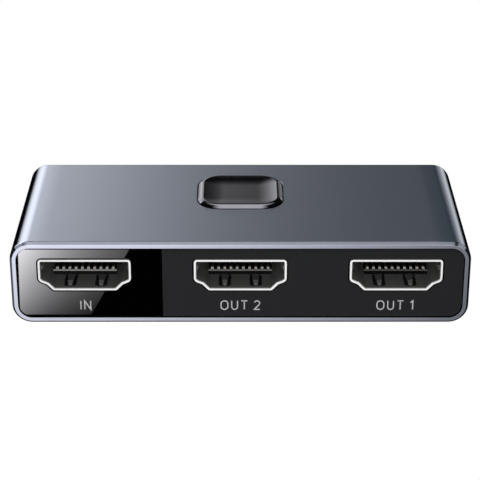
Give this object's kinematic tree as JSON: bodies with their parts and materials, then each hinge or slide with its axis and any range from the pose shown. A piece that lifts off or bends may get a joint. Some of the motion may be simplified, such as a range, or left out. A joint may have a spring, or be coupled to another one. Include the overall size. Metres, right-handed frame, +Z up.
{
  "type": "hdmi switch",
  "caption": "Flat rectangular two-way HDMI switch: extruded aluminium sleeve, dark front panel with a row of sockets, and a dished square push button in the top.",
  "frame": {"origin": "middle of the underside", "axes": "+X along the row of sockets to the right seen from the front, the front faces -Y, +Z up"},
  "size_m": [0.0738, 0.0328, 0.015],
  "materials": {
    "sleeve": "satin anodised",
    "front_panel": "gloss at one end, satin elsewhere",
    "rear_panel": "satin",
    "frame": "matte",
    "adhesive": "matte",
    "screw": "zinc plated",
    "shell": "nickel plated",
    "insulator": "matte",
    "contact": "gold plated",
    "board": "solder mask",
    "chip": "moulded",
    "lead": "tinned",
    "capacitor": "ceramic",
    "lamp": "clear moulded",
    "light_rod": "clear",
    "switch_body": "moulded",
    "switch_metal": "plain",
    "button": "satin to gloss"
  },
  "bodies": {
    "housing": {"housing_sleeve": "sleeve", "front_panel": "front_panel", "front_adhesive": "adhesive", "front_frame": "frame", "front_screws": "screw", "rear_panel": "rear_panel", "rear_adhesive": "adhesive", "rear_frame": "frame", "rear_screws": "screw", "main_board": "board", "mux_chip": "chip", "mux_chip_pads": "lead", "logic_chip": "chip", "logic_chip_leads": "lead", "surge_clamps": "chip", "chip_capacitors": "capacitor", "chip_resistors": "chip", "indicator_lamps": "lamp", "light_rods": "light_rod", "switch_base": "switch_body", "switch_terminals": "switch_metal", "switch_cover": "switch_metal", "switch_dome": "switch_metal", "button_retainer": "frame", "input_shell": "shell", "input_insulator": "insulator", "input_contacts": "contact", "output_2_shell": "shell", "output_2_insulator": "insulator", "output_2_contacts": "contact", "output_1_shell": "shell", "output_1_insulator": "insulator", "output_1_contacts": "contact"},
    "button": {"button_cap": "button", "switch_plunger": "switch_body"}
  },
  "joints": [
    {"name": "button_press", "type": "slide", "parent": "housing", "child": "button", "axis": [0, 0, -1], "range_m": [0, 0.00035], "stiffness_N_per_m": 3000, "springref_m": -0.0001, "deforming": ["switch_dome"]}
  ]
}
